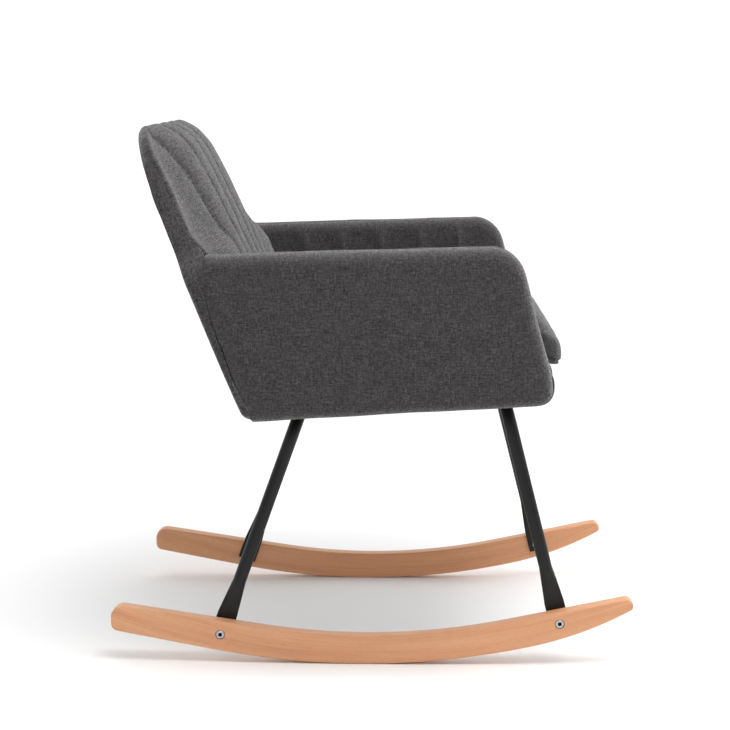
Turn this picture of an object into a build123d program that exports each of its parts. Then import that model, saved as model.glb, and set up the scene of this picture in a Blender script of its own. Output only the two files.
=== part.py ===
from build123d import *
import os
from math import cos, hypot, radians, sin, sqrt, tan

# Rocking chair, millimetres. It faces -Y, X runs from side to side, Z is up, and the floor is Z = 0.
# Side outlines are drawn as (y, z) pairs, so a point in front of the chair's middle has a negative y.

# ------------------------------------------------------------------------ driving dimensions
LENGTH = 760.0                 # rocker tip to rocker tip
SHELL_HALF = 310.0             # middle of the chair to the outer face of an arm

ROCKER_X = 214.0               # middle of the chair to the middle of a rocker
ROCKER_THICK = 22.0
RUN_RADIUS = 1130.0            # running edge
RUN_TANGENT_Y = 230.0          # the running edge is straight behind this point
NOSE_START_Y = -235.0          # and bends more tightly in front of this one
NOSE_RADIUS = 520.0
NOSE_ROUNDS = (10.5, 6.5)      # upper and lower corner of the front end
HEEL_ROUNDS = (17.0, 11.0)     # and of the rear end
CONTACT_Y = 18.0               # where the rocker stands on the floor
TOP_RADIUS = 1000.0            # upper edge of the rocker
TOP_LOW_Y = 10.0
TOP_LOW_Z = 42.5
TOP_ARC_REAR_Y = 160.0
TOP_ARC_FRONT_Y = -200.0
ROCKER_ROUND = 3.0

TUBE_R = 9.5
TUBE_WALL = 1.5
BEND_R = 50.0
LEG_X = 201.0
REAR_BOLT = (220.0, 43.0)
REAR_LEAN = (-0.3605, 1.0)     # leg direction from foot to seat, as (y, z)
FRONT_BOLT = (-274.0, 63.5)
FRONT_LEAN = (0.2561, 1.0)
FOOT_WIDTH = 29.0
FOOT_THICK = 4.0
FOOT_BELOW = 11.0              # foot below its bolt
FOOT_FLAT = 26.0               # flat part above the bolt
FOOT_TAPER_END = 80.0          # round tube begins here, measured from the bolt

SEAT_TILT = 3.7                # the seat rises towards the front, degrees
SEAT_Z = 391.0                 # underside of the seat panel at Y = 0
PANEL_THICK = 15.0
RAIL_HEIGHT = 25.0
RAIL_THICK = 22.0
WEB_THICK = 2.0
WEB_WIDTH = 50.0
SEAT_FRONT = -230.0            # front of the wooden seat, along the tilted seat
SEAT_SIDE = 268.0              # half width of the wooden seat
DECK = PANEL_THICK + RAIL_HEIGHT + WEB_THICK

RECLINE = 22.3                 # back leans this far from upright, degrees
BACK_FOOT = (173.0, 373.0)     # lower rear corner of the back, (y, z)
BACK_HEIGHT = 430.0
BACK_HALF_LOW = 288.0
BACK_HALF_ARM = 283.0          # half width where the arms end
BACK_HALF_TOP = 222.0
BACK_ARM_LEVEL = 246.0         # height along the back where the arms end
BACK_CORNER_R = 48.0
BACK_EDGE = 27.0               # thickness at the sides
BACK_CENTRE = 74.0             # thickness of the flat middle
BACK_FLAT_LOW = 249.5          # half width of the flat middle, up to the arms
BACK_FLAT_TOP = 178.0          # half width of the flat middle at the top
BACK_REAR_PAD = 4.0
BACK_FRAME_THICK = 17.0
BACK_FRAME_WIDTH = 45.0
BACK_WEB_LEVELS = (120.0, 205.0, 290.0)
BACK_WEB_HALF = 228.0
BACK_PAD_HOLLOW = 10.0         # the front pad bridges the webs by this much
BOARD_INSET = 24.0
BOARD_LOW_INSET = 6.0          # boards reach lower than they reach outwards

ARM_THICK = 60.0
ARM_INNER = SHELL_HALF - ARM_THICK
ARM_BOARD = 18.0
ARM_CORNER_R = 50.0

CUSHION_THICK = 54.0
CUSHION_FRONT = -276.0
CUSHION_BOW = 5.0
CUSHION_SIDE_GAP = 2.5
CUSHION_BACK_GAP = 2.0
LIFT_GAP = 0.5                 # under the loose cushion

PLATE_X = 112.0
PLATE_LENGTH = 66.0
PLATE_WIDTH = 44.0
PLATE_THICK = 4.0
PLATE_NEST = 1.5               # how far the tube is let into the plate
PLATE_HOLE_PITCH = 44.0

M6_R = 3.0
M6_HOLE_R = 3.3
WASHER_R = 7.0
WASHER_THICK = 1.2
ROCKER_BOLT_HEAD_R = 6.5
ROCKER_BOLT_HEAD = 5.2
ROCKER_BOLT_SOCKET_R = 3.3      # corner of the hexagon
ROCKER_BOLT_SOCKET = 4.2
TEE_BARREL_R = 4.2
TEE_FLANGE_R = 9.0
TEE_FLANGE = 1.5
BACK_BOLT_HEIGHT = 24.0
BACK_BOLT_X = (-200.0, -70.0, 70.0, 200.0)
ARM_BOLT_Y = (-190.0, -60.0, 70.0)
ARM_BOLT_H = PANEL_THICK + RAIL_HEIGHT / 2

WEB_FIRST = SEAT_FRONT + 36
WEB_PITCH = 68.0
WEB_COUNT = 5

SEAT = Plane(
    origin=(0, 0, SEAT_Z),
    x_dir=(1, 0, 0),
    z_dir=(0, sin(radians(SEAT_TILT)), cos(radians(SEAT_TILT))),
)
BACK = Plane(
    origin=(0, BACK_FOOT[0], BACK_FOOT[1]),
    x_dir=(1, 0, 0),
    z_dir=(0, -cos(radians(RECLINE)), sin(radians(RECLINE))),
)


# ------------------------------------------------------------------------ helpers
def side_solid(face, x_low, x_high):
    """Extrude a (y, z) outline from x_low to x_high."""
    return extrude(Plane.YZ.offset(x_low) * face, x_high - x_low)


def block(plane, low, high):
    """Box between two corners given in a plane's own coordinates."""
    size = [b - a for a, b in zip(low, high)]
    middle = [(a + b) / 2 for a, b in zip(low, high)]
    return plane.location * (Pos(*middle) * Box(*size))


def rounded(points, radii):
    """Closed face through the points, each corner rounded to its own radius."""
    face = make_face(Polyline(*points, close=True).edges())
    for point, radius in zip(points, radii):
        if radius:
            corner = face.vertices().sort_by_distance((point[0], point[1], 0))[0]
            face = fillet(corner, radius)
    return face


def mirrored(solid):
    return mirror(solid, Plane.YZ)


def rod(start, axis, radius, length):
    """Cylinder from a start point along an axis."""
    plane = Plane(origin=start, z_dir=axis)
    return extrude(plane * Circle(radius), length)


def in_plane(plane, point):
    """World coordinates of a point given in a plane's own coordinates."""
    return plane.from_local_coords(Vector(*point))


# ------------------------------------------------------------------------ rockers
def run_z(y):
    """Height of the running edge: an arc, a tighter one to the nose and a straight tail."""
    if y < NOSE_START_Y:
        sine = (CONTACT_Y - NOSE_START_Y) / RUN_RADIUS
        centre_y = NOSE_START_Y + NOSE_RADIUS * sine
        centre_z = run_z(NOSE_START_Y) + NOSE_RADIUS * sqrt(1 - sine**2)
        return centre_z - sqrt(NOSE_RADIUS**2 - (centre_y - y) ** 2)
    if y <= RUN_TANGENT_Y:
        return RUN_RADIUS - sqrt(RUN_RADIUS**2 - (y - CONTACT_Y) ** 2)
    reach = RUN_TANGENT_Y - CONTACT_Y
    slope = reach / sqrt(RUN_RADIUS**2 - reach**2)
    return run_z(RUN_TANGENT_Y) + slope * (y - RUN_TANGENT_Y)


def top_z(y):
    """Height of the upper edge, an arc with straight ends."""
    inside = min(max(y, TOP_ARC_FRONT_Y), TOP_ARC_REAR_Y)
    reach = inside - TOP_LOW_Y
    rise = sqrt(TOP_RADIUS**2 - reach**2)
    return TOP_LOW_Z + TOP_RADIUS - rise + (reach / rise) * (y - inside)


def rocker_face():
    tip = LENGTH / 2
    nose_low = (-tip, run_z(-tip))
    nose_high = (-tip, top_z(-tip))
    heel_low = (tip, run_z(tip))
    heel_high = (tip, top_z(tip))
    nose_start = (NOSE_START_Y, run_z(NOSE_START_Y))
    half_way = (NOSE_START_Y - tip) / 2
    nose_bend = (half_way, run_z(half_way))
    tail = (RUN_TANGENT_Y, run_z(RUN_TANGENT_Y))
    arc_rear = (TOP_ARC_REAR_Y, top_z(TOP_ARC_REAR_Y))
    arc_front = (TOP_ARC_FRONT_Y, top_z(TOP_ARC_FRONT_Y))
    edges = [
        ThreePointArc(nose_low, nose_bend, nose_start),
        ThreePointArc(nose_start, (CONTACT_Y, 0), tail),
        Line(tail, heel_low),
        Line(heel_low, heel_high),
        Line(heel_high, arc_rear),
        ThreePointArc(arc_rear, (TOP_LOW_Y, TOP_LOW_Z), arc_front),
        Line(arc_front, nose_high),
        Line(nose_high, nose_low),
    ]
    face = make_face(edges)
    corners = (nose_high, nose_low, heel_high, heel_low)
    for corner, radius in zip(corners, NOSE_ROUNDS + HEEL_ROUNDS):
        nearest = face.vertices().sort_by_distance((corner[0], corner[1], 0))[0]
        face = fillet(nearest, radius)
    return face


def rocker():
    """Right-hand rocker with its two stepped bolt holes."""
    low = ROCKER_X - ROCKER_THICK / 2
    high = ROCKER_X + ROCKER_THICK / 2
    solid = side_solid(rocker_face(), low, high)
    rims = solid.faces().filter_by(Axis.X).edges()
    solid = fillet(rims, ROCKER_ROUND)
    for y, z in (REAR_BOLT, FRONT_BOLT):
        solid -= rod((low - 1, y, z), (1, 0, 0), M6_HOLE_R, ROCKER_THICK + 2)
        solid -= rod((high - ROCKER_BOLT_HEAD, y, z), (1, 0, 0), ROCKER_BOLT_HEAD_R + 0.6, 10)
    return solid


def rocker_bolt(y, z):
    """Countersunk-in joint bolt: head flush in the rocker, shank through rocker and foot."""
    face_x = ROCKER_X + ROCKER_THICK / 2
    seat_x = face_x - ROCKER_BOLT_HEAD
    end_x = LEG_X - FOOT_THICK / 2 - 10.0
    head = rod((seat_x, y, z), (1, 0, 0), ROCKER_BOLT_HEAD_R, ROCKER_BOLT_HEAD)
    head = chamfer(head.faces().sort_by(Axis.X)[-1].edges(), 0.8)
    shank = rod((end_x, y, z), (1, 0, 0), M6_R, seat_x - end_x)
    mouth = Plane(origin=(face_x + 0.1, y, z), z_dir=(-1, 0, 0))
    socket = mouth * RegularPolygon(ROCKER_BOLT_SOCKET_R, 6)
    return head + shank - extrude(socket, ROCKER_BOLT_SOCKET)


def rocker_washer(y, z):
    inner_x = LEG_X - FOOT_THICK / 2
    start = (inner_x - WASHER_THICK, y, z)
    ring = rod(start, (1, 0, 0), WASHER_R, WASHER_THICK)
    return ring - rod(start, (1, 0, 0), M6_HOLE_R, WASHER_THICK)


def rocker_cap_nut(y, z):
    """Domed nut on the inside of a foot, bored to sit on the bolt's end."""
    base_x = LEG_X - FOOT_THICK / 2 - WASHER_THICK
    hexagon = Plane(origin=(base_x, y, z), z_dir=(-1, 0, 0)) * RegularPolygon(5.8, 6)
    body = extrude(hexagon, 5.5)
    dome_centre = base_x - 5.5
    dome = Pos(dome_centre, y, z) * Sphere(4.9)
    dome &= Pos(dome_centre - 5, y, z) * Box(10, 12, 12)
    bore_end = LEG_X - FOOT_THICK / 2 - 10.0
    return body + dome - rod((bore_end, y, z), (1, 0, 0), M6_R, base_x - bore_end)


# ------------------------------------------------------------------------ leg frames
def leg_plane(bolt, lean):
    """Plane of an inverted-U leg frame: local y runs up the leg from the bolt."""
    up = Vector(0, lean[0], lean[1]).normalized()
    return Plane(origin=(0, bolt[0], bolt[1]), x_dir=(1, 0, 0), z_dir=Vector(1, 0, 0).cross(up))


def crossbar_height(bolt, lean):
    """Distance up the leg at which the crossbar meets the mounting plates."""
    plane = leg_plane(bolt, lean)
    low = SEAT.to_local_coords(in_plane(plane, (0, 0, 0))).Z
    high = SEAT.to_local_coords(in_plane(plane, (0, 1, 0))).Z
    wanted = -(PLATE_THICK - PLATE_NEST + TUBE_R)
    return (wanted - low) / (high - low)


def foot(plane, side):
    """Tube end pressed flat against the rocker and drilled for the bolt."""
    def section(height, shape):
        at = Plane(in_plane(plane, (side * LEG_X, height, 0)), x_dir=(1, 0, 0), z_dir=plane.y_dir)
        return at * shape

    flat = Rectangle(FOOT_THICK, FOOT_WIDTH)
    flat = fillet(flat.vertices(), FOOT_THICK / 2 - 0.2)
    taper = loft([section(FOOT_FLAT, flat), section(FOOT_TAPER_END, Circle(TUBE_R))])
    slit = fillet(Rectangle(0.8, FOOT_WIDTH - 6).vertices(), 0.3)
    hollow = loft([section(FOOT_FLAT + 8, slit), section(FOOT_TAPER_END, Circle(TUBE_R - TUBE_WALL))])
    plate = extrude(section(-FOOT_BELOW, flat), FOOT_FLAT + FOOT_BELOW, dir=plane.y_dir)
    hole_start = in_plane(plane, (side * LEG_X - 10, 0, 0))
    return taper - hollow + plate - rod(hole_start, (1, 0, 0), M6_HOLE_R, 20)


def leg_frame(bolt, lean):
    """One bent steel tube: two legs, two bends and the crossbar under the seat."""
    plane = leg_plane(bolt, lean)
    top = crossbar_height(bolt, lean)
    corners = [(-LEG_X, FOOT_TAPER_END), (-LEG_X, top), (LEG_X, top), (LEG_X, FOOT_TAPER_END)]
    path = plane.location * FilletPolyline(*corners, radius=BEND_R)
    start = Plane(path @ 0, x_dir=(1, 0, 0), z_dir=path % 0)
    ring = start * (Circle(TUBE_R) - Circle(TUBE_R - TUBE_WALL))
    tube = sweep(ring, path)
    return tube + foot(plane, -1) + foot(plane, 1)


def plate_centre(bolt, lean, side):
    """Middle of a mounting plate, in seat coordinates."""
    plane = leg_plane(bolt, lean)
    bar = SEAT.to_local_coords(in_plane(plane, (0, crossbar_height(bolt, lean), 0)))
    return side * PLATE_X, bar.Y


def plate_holes(bolt, lean, side):
    """Seat coordinates of a plate's two bolts, one before and one behind the crossbar."""
    x, y = plate_centre(bolt, lean, side)
    return [(x, y - PLATE_HOLE_PITCH / 2), (x, y + PLATE_HOLE_PITCH / 2)]


def mounting_plate(bolt, lean, side):
    x, y = plate_centre(bolt, lean, side)
    half_x = PLATE_WIDTH / 2
    half_y = PLATE_LENGTH / 2
    plate = block(SEAT, (x - half_x, y - half_y, -PLATE_THICK), (x + half_x, y + half_y, 0))
    plate = fillet(plate.edges().filter_by(Axis(SEAT.origin, SEAT.z_dir)), 6)
    bar = in_plane(SEAT, (x - half_x - 1, y, -(PLATE_THICK - PLATE_NEST + TUBE_R)))
    plate -= rod(bar, (1, 0, 0), TUBE_R, PLATE_WIDTH + 2)
    for hole in plate_holes(bolt, lean, side):
        plate -= rod(in_plane(SEAT, (*hole, -10)), SEAT.z_dir, M6_HOLE_R, 20)
    return plate


def all_plate_holes():
    holes = []
    for bolt, lean in ((FRONT_BOLT, FRONT_LEAN), (REAR_BOLT, REAR_LEAN)):
        for side in (-1, 1):
            holes += plate_holes(bolt, lean, side)
    return holes


def frame_bolt(x, y):
    """Button-head bolt driven up through a plate into its tee nut."""
    under = -PLATE_THICK - WASHER_THICK
    head = rod(in_plane(SEAT, (x, y, under)), -SEAT.z_dir, 5.25, 3.3)
    head = fillet(head.faces().sort_by(Axis.Z)[0].edges(), 1.8)
    socket = Plane(in_plane(SEAT, (x, y, under - 3.4)), z_dir=SEAT.z_dir) * RegularPolygon(2.3, 6)
    shank = rod(in_plane(SEAT, (x, y, under)), SEAT.z_dir, M6_R, PLATE_THICK + WASHER_THICK + PANEL_THICK)
    return head - extrude(socket, 2.0) + shank


def frame_washer(x, y):
    start = in_plane(SEAT, (x, y, -PLATE_THICK - WASHER_THICK))
    ring = rod(start, SEAT.z_dir, WASHER_R, WASHER_THICK)
    return ring - rod(start, SEAT.z_dir, M6_HOLE_R, WASHER_THICK)


def tee_nut(x, y):
    top = in_plane(SEAT, (x, y, PANEL_THICK))
    barrel = rod(top, -SEAT.z_dir, TEE_BARREL_R, 9)
    flange = rod(top, SEAT.z_dir, TEE_FLANGE_R, TEE_FLANGE)
    bore = rod(in_plane(SEAT, (x, y, 0)), SEAT.z_dir, M6_R, PANEL_THICK + 5)
    return barrel + flange - bore


# ------------------------------------------------------------------------ back
def back_face(inset=0.0):
    """Front view of the back: straight between the arms, tapering to a rounded top."""
    low = BACK_HALF_LOW - inset
    arm = BACK_HALF_ARM - inset
    top = BACK_HALF_TOP - inset
    level = BACK_ARM_LEVEL
    high = BACK_HEIGHT - inset
    base = min(inset, BOARD_LOW_INSET)
    points = [(-low, base), (low, base), (arm, level), (top, high), (-top, high), (-arm, level)]
    return rounded(points, [6, 6, 60, BACK_CORNER_R, BACK_CORNER_R, 60])


def bevel_section(height, edge_half, flat_half):
    """Plan section of the back: flat front with a bevel down to the thin side edges."""
    section = Polyline(
        (-edge_half, 0),
        (edge_half, 0),
        (edge_half, BACK_EDGE),
        (flat_half, BACK_CENTRE),
        (-flat_half, BACK_CENTRE),
        (-edge_half, BACK_EDGE),
        close=True,
    )
    across = Plane(origin=(0, height, 0), x_dir=(1, 0, 0), z_dir=(0, -1, 0))
    return across * make_face(section.edges())


def bevelled_slab():
    """The back's plan section run straight up to the arms, then narrowing to the top."""
    low = bevel_section(-60, BACK_HALF_LOW, BACK_FLAT_LOW)
    arm = bevel_section(BACK_ARM_LEVEL, BACK_HALF_LOW, BACK_FLAT_LOW)
    top = bevel_section(BACK_HEIGHT, BACK_HALF_TOP, BACK_FLAT_TOP)
    slab = loft([low, arm], ruled=True) + loft([arm, top], ruled=True)
    return BACK.location * slab


def above_deck(margin):
    """Everything over the sitting deck, raised by a margin."""
    return block(SEAT, (-600, -600, DECK + margin), (600, 600, 700))


def back_profile():
    """Side section of the back at its middle: thick at the waist, rolled over at the top."""
    rear = (0, BACK_HEIGHT - 22)
    peak = (24, BACK_HEIGHT)
    shoulder = (54, BACK_HEIGHT - 32)
    waist = (BACK_CENTRE - 4, BACK_ARM_LEVEL)
    section = make_face([
        Line((0, -60), rear),
        ThreePointArc(rear, (8, BACK_HEIGHT - 7), peak),
        ThreePointArc(peak, (43, BACK_HEIGHT - 9), shoulder),
        ThreePointArc(shoulder, (BACK_CENTRE - 9, BACK_HEIGHT - 95), waist),
        Line(waist, (BACK_CENTRE, 120)),
        Line((BACK_CENTRE, 120), (BACK_CENTRE, -60)),
        Line((BACK_CENTRE, -60), (0, -60)),
    ])
    half = BACK_HALF_LOW + 5
    across = Plane(origin=(half, 0, 0), x_dir=(0, 0, 1), z_dir=(-1, 0, 0))
    return BACK.location * extrude(across * section, 2 * half)


def back_envelope():
    outline = BACK.location * extrude(back_face(), 200)
    return bevelled_slab() & outline & back_profile()


def back_rear_pad():
    """Thin padding and cover over the rear of the back board."""
    pad = back_envelope() & block(BACK, (-400, -50, 0), (400, 600, BACK_REAR_PAD))
    for x in BACK_BOLT_X:
        start = in_plane(BACK, (x, BACK_BOLT_HEIGHT, BACK_REAR_PAD))
        pad -= rod(start, -BACK.z_dir, 6.5, 3)
    return pad


def back_blank(inset, thick):
    """Flat board shape behind the front pad, lying on the rear pad."""
    return BACK.location * (Pos(0, 0, BACK_REAR_PAD) * extrude(back_face(inset), thick))


def back_frame():
    """Wooden frame of the back: two uprights between a bottom and a top rail."""
    low = BOARD_LOW_INSET + BACK_FRAME_WIDTH
    high = BACK_HEIGHT - BOARD_INSET - BACK_FRAME_WIDTH
    window = back_blank(BOARD_INSET + BACK_FRAME_WIDTH, BACK_FRAME_THICK)
    window &= block(BACK, (-400, low, -50), (400, high, 100))
    ring = back_blank(BOARD_INSET, BACK_FRAME_THICK) - window
    bottom = ring & block(BACK, (-400, -50, -50), (400, low, 100))
    for x in BACK_BOLT_X:
        bottom -= rod(in_plane(BACK, (x, BACK_BOLT_HEIGHT, 0)), BACK.z_dir, M6_R, 60)
    return {
        "back_bottom_rail": bottom,
        "back_top_rail": ring & block(BACK, (-400, high, -50), (400, 600, 100)),
        "back_upright_right": ring & block(BACK, (0, low, -50), (400, high, 100)),
        "back_upright_left": ring & block(BACK, (-400, low, -50), (0, high, 100)),
    }


def back_web(level):
    """Elastic strap across the front of the back frame."""
    base = BACK_REAR_PAD + BACK_FRAME_THICK
    low = (-BACK_WEB_HALF, level - WEB_WIDTH / 2, base)
    return block(BACK, low, (BACK_WEB_HALF, level + WEB_WIDTH / 2, base + WEB_THICK))


def back_front_pad():
    """Thick bowed pad the sitter leans on, ending at the seat deck."""
    pad = back_envelope() & block(BACK, (-400, -50, BACK_REAR_PAD), (400, 600, 300))
    pad &= above_deck(0.5)
    pad -= back_blank(BOARD_INSET, BACK_FRAME_THICK + WEB_THICK)
    inner = BOARD_INSET + BACK_FRAME_WIDTH
    return pad - back_blank(inner, BACK_FRAME_THICK + WEB_THICK + BACK_PAD_HOLLOW)


# ------------------------------------------------------------------------ seat
def cut_to_back(solid):
    """Trim a seat piece to the front of the back board."""
    behind = block(BACK, (-400, -100, -200), (400, 600, BACK_REAR_PAD + BACK_FRAME_THICK))
    return solid - behind


def seat_panel():
    panel = block(SEAT, (-SEAT_SIDE, SEAT_FRONT, 0), (SEAT_SIDE, 200, PANEL_THICK))
    panel = cut_to_back(panel)
    for x, y in all_plate_holes():
        panel -= rod(in_plane(SEAT, (x, y, -1)), SEAT.z_dir, M6_R + 0.3, PANEL_THICK + 2)
        panel -= rod(in_plane(SEAT, (x, y, PANEL_THICK)), -SEAT.z_dir, TEE_BARREL_R, 9)
    return panel


def side_rail(side):
    low = (SEAT_SIDE - RAIL_THICK, SEAT_FRONT, PANEL_THICK)
    high = (SEAT_SIDE, 220, PANEL_THICK + RAIL_HEIGHT)
    rail = cut_to_back(block(SEAT, low, high))
    for y in ARM_BOLT_Y:
        rail -= rod(in_plane(SEAT, (SEAT_SIDE, y, ARM_BOLT_H)), (-1, 0, 0), M6_R, RAIL_THICK - 2)
    return rail if side > 0 else mirrored(rail)


def clear_tee_nuts(rail):
    """Recess the underside of a rail over the tee nuts' flanges."""
    for x, y in all_plate_holes():
        rail -= rod(in_plane(SEAT, (x, y, PANEL_THICK)), SEAT.z_dir, TEE_FLANGE_R + 0.5, 3)
    return rail


def front_rail():
    half = SEAT_SIDE - RAIL_THICK
    low = (-half, SEAT_FRONT, PANEL_THICK)
    high = (half, SEAT_FRONT + RAIL_THICK, PANEL_THICK + RAIL_HEIGHT)
    return clear_tee_nuts(block(SEAT, low, high))


def rear_rail():
    """Rail against the back board, which it is bolted to."""
    half = SEAT_SIDE - RAIL_THICK
    rail = block(SEAT, (-half, 100, PANEL_THICK), (half, 220, PANEL_THICK + RAIL_HEIGHT))
    rail = cut_to_back(rail)
    front = block(BACK, (-400, -100, BACK_REAR_PAD + BACK_FRAME_THICK + RAIL_THICK), (400, 600, 400))
    rail -= front
    for x in BACK_BOLT_X:
        start = in_plane(BACK, (x, BACK_BOLT_HEIGHT, BACK_REAR_PAD + BACK_FRAME_THICK))
        rail -= rod(start, BACK.z_dir, M6_R, RAIL_THICK - 2)
    return clear_tee_nuts(rail)


def web_strap(y):
    """Elastic strap stretched from side rail to side rail."""
    base = PANEL_THICK + RAIL_HEIGHT
    half = SEAT_SIDE - 1
    return block(SEAT, (-half, y - WEB_WIDTH / 2, base), (half, y + WEB_WIDTH / 2, base + WEB_THICK))


def arm_bolt(y, side):
    """Bolt through the arm board into the side rail."""
    start = in_plane(SEAT, (SEAT_SIDE + ARM_BOARD, y, ARM_BOLT_H))
    shank = rod(start, (-1, 0, 0), M6_R, ARM_BOARD + RAIL_THICK - 2)
    head = rod(start, (1, 0, 0), 6.0, 3.0)
    bolt = shank + head
    return bolt if side > 0 else mirrored(bolt)


def back_bolt(x):
    """Bolt through the back board into the rear rail."""
    start = in_plane(BACK, (x, BACK_BOLT_HEIGHT, BACK_REAR_PAD))
    shank = rod(start, BACK.z_dir, M6_R, BACK_FRAME_THICK + RAIL_THICK - 2)
    return shank + rod(start, -BACK.z_dir, 6.0, 2.4)


# ------------------------------------------------------------------------ arms
def arm_face(inset=0.0):
    """Side outline of the shell: level arm top, raked front, rising underside, reclined rear."""
    rear_slope = tan(radians(RECLINE))
    base = min(inset, BOARD_LOW_INSET)
    top = 616.0 - inset
    rear_y = BACK_FOOT[0] - inset / cos(radians(RECLINE))
    points = [
        (rear_y + rear_slope * base, BACK_FOOT[1] + base),
        (rear_y + rear_slope * (top - 14 - BACK_FOOT[1]), top - 14),
        (-201.5 + inset, top),
        (-246.0 + inset, 455.0),
        (-246.0 + inset, 399.0 + base),
    ]
    return rounded(points, [18, 10, ARM_CORNER_R - inset / 2, 60, 12])


def arm_blank():
    """The plywood arm side before it is drilled."""
    blank = side_solid(arm_face(BOARD_INSET), SEAT_SIDE, SEAT_SIDE + ARM_BOARD)
    return blank - back_envelope()


def arm_board():
    board = arm_blank()
    for y in ARM_BOLT_Y:
        board -= rod(in_plane(SEAT, (SEAT_SIDE - 1, y, ARM_BOLT_H)), (1, 0, 0), M6_R, ARM_BOARD + 2)
    return board


def arm_outer_pad():
    """Smooth outer side of the arm, which wraps round the board."""
    pad = side_solid(arm_face(), SEAT_SIDE, SHELL_HALF)
    rim = pad.faces().sort_by(Axis.X)[-1].edges()
    pad = fillet(rim, 18)
    pad -= arm_blank()
    pad -= back_envelope()
    for y in ARM_BOLT_Y:
        start = in_plane(SEAT, (SEAT_SIDE + ARM_BOARD, y, ARM_BOLT_H))
        pad -= rod(start, (1, 0, 0), 6.5, 4)
    return pad


def arm_inner_pad():
    """Channel-quilted inner side of the arm, from the seat deck up."""
    pad = side_solid(arm_face(), ARM_INNER, SEAT_SIDE)
    rim = pad.faces().sort_by(Axis.X)[0].edges()
    pad = fillet(rim, 14)
    pad &= above_deck(0.5)
    return pad - back_envelope()


# ------------------------------------------------------------------------ soft seat pieces
def front_rail_pad():
    """Rolled pad over the front of the wooden seat."""
    depth = 27.0
    low = -14.0
    high = DECK - 1.0
    front = SEAT_FRONT - depth
    outline = make_face([
        Line((SEAT_FRONT, low), (SEAT_FRONT, high)),
        Line((SEAT_FRONT, high), (SEAT_FRONT - 8, high)),
        ThreePointArc((SEAT_FRONT - 8, high), (front, 16), (SEAT_FRONT - 8, low)),
        Line((SEAT_FRONT - 8, low), (SEAT_FRONT, low)),
    ])
    half = SEAT_SIDE - 0.5
    placed = Plane(origin=(-half, 0, 0), x_dir=(0, 1, 0), z_dir=(1, 0, 0)) * outline
    return SEAT.location * extrude(placed, 2 * half)


def seat_cushion():
    """Loose boxed cushion that lies on the deck and overhangs the front rail."""
    half = ARM_INNER - CUSHION_SIDE_GAP
    front = CUSHION_FRONT + CUSHION_BOW
    outline = make_face([
        Line((-half, 240), (-half, front)),
        ThreePointArc((-half, front), (0, CUSHION_FRONT), (half, front)),
        Line((half, front), (half, 240)),
        Line((half, 240), (-half, 240)),
    ])
    corners = outline.vertices().sort_by(Axis.Y)[:2]
    outline = fillet(corners, 26)
    base = DECK + LIFT_GAP
    cushion = SEAT.location * (Pos(0, 0, base) * extrude(outline, CUSHION_THICK))
    cushion -= block(BACK, (-400, -200, -400), (400, 600, BACK_CENTRE + CUSHION_BACK_GAP))
    upper = cushion.faces().sort_by(Axis(SEAT.origin, SEAT.z_dir))[-1]
    return fillet(upper.edges(), 12)


def dust_cover():
    """Thin black cloth stapled under the seat, with openings for the mounting plates."""
    thick = 1.0
    cover = block(SEAT, (-262, SEAT_FRONT + 4, -thick), (262, 130, 0))
    for bolt, lean in ((FRONT_BOLT, FRONT_LEAN), (REAR_BOLT, REAR_LEAN)):
        for side in (-1, 1):
            x, y = plate_centre(bolt, lean, side)
            half_x = PLATE_WIDTH / 2 + 1
            half_y = PLATE_LENGTH / 2 + 1
            cover -= block(SEAT, (x - half_x, y - half_y, -5), (x + half_x, y + half_y, 5))
    return cover


# ------------------------------------------------------------------------ the chair
def both_sides(make):
    """Four solids: one at each rocker bolt on both sides."""
    right = [make(*REAR_BOLT), make(*FRONT_BOLT)]
    return Compound(right + [mirrored(solid) for solid in right])


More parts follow.
